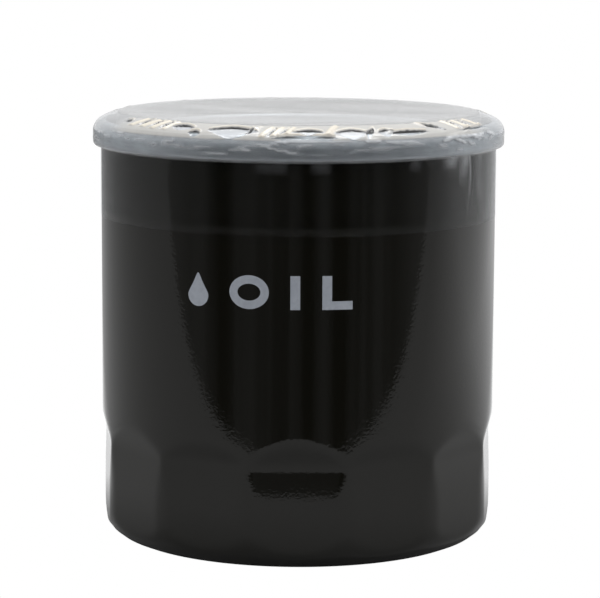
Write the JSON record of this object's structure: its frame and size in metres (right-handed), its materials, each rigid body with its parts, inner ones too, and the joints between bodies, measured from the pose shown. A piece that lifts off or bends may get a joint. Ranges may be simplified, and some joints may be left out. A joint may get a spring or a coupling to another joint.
{
  "type": "spin-on oil filter",
  "caption": "Spin-on oil filter: black can with wrench flats at its closed end, steel seaming lid, flat gasket round a threaded plate, pleated element inside, clear film over the top.",
  "frame": {"origin": "centre of the closed end, on the plane that it stands on", "axes": "+Z along the filter's axis, out of the threaded end"},
  "size_m": [0.079, 0.079, 0.0821],
  "materials": {
    "can_paint": "gloss",
    "lid_steel": "satin",
    "plate_steel": "satin",
    "seam_compound": "matte",
    "gasket_rubber": "satin",
    "valve_rubber": "matte",
    "spring_steel": "satin",
    "tinplate": "satin",
    "filter_paper": "matte",
    "plastisol": "matte",
    "shrink_film": "gloss"
  },
  "bodies": {
    "can": {"can_shell": "can_paint", "seaming_lid": "lid_steel", "seam_sealant": "seam_compound", "base_plate": "plate_steel", "gasket": "gasket_rubber", "support_spring": "spring_steel", "drain_valve_collar": "valve_rubber"},
    "drain_flap": {"drain_valve_lip": "valve_rubber"},
    "element": {"upper_end_cap": "tinplate", "lower_end_cap": "tinplate", "centre_tube": "tinplate", "pleated_media": "filter_paper", "upper_adhesive": "plastisol", "lower_adhesive": "plastisol", "media_seam_clip": "tinplate", "bypass_cage": "tinplate", "bypass_spring": "spring_steel"},
    "bypass_valve": {"bypass_poppet": "tinplate", "bypass_seal": "valve_rubber"},
    "film": {"film_top": "shrink_film", "film_band": "shrink_film", "film_skirt": "shrink_film"}
  },
  "joints": [
    {"name": "film_lift", "type": "slide", "parent": "can", "child": "film", "axis": [0, 0, 1], "range_m": [0, 0.1], "deforming": ["film_skirt"]},
    {"name": "drain_flap_lift", "type": "slide", "parent": "can", "child": "drain_flap", "axis": [0, 0, 1], "range_m": [-0.0015, 0], "stiffness_N_per_m": 300, "springref_m": 0.001},
    {"name": "element_float", "type": "slide", "parent": "can", "child": "element", "axis": [0, 0, 1], "range_m": [-0.002, 0], "stiffness_N_per_m": 15000, "springref_m": 0.004, "deforming": ["support_spring"]},
    {"name": "bypass_lift", "type": "slide", "parent": "element", "child": "bypass_valve", "axis": [0, 0, 1], "range_m": [0, 0.0035], "stiffness_N_per_m": 1500, "springref_m": -0.006, "deforming": ["bypass_spring"]}
  ]
}
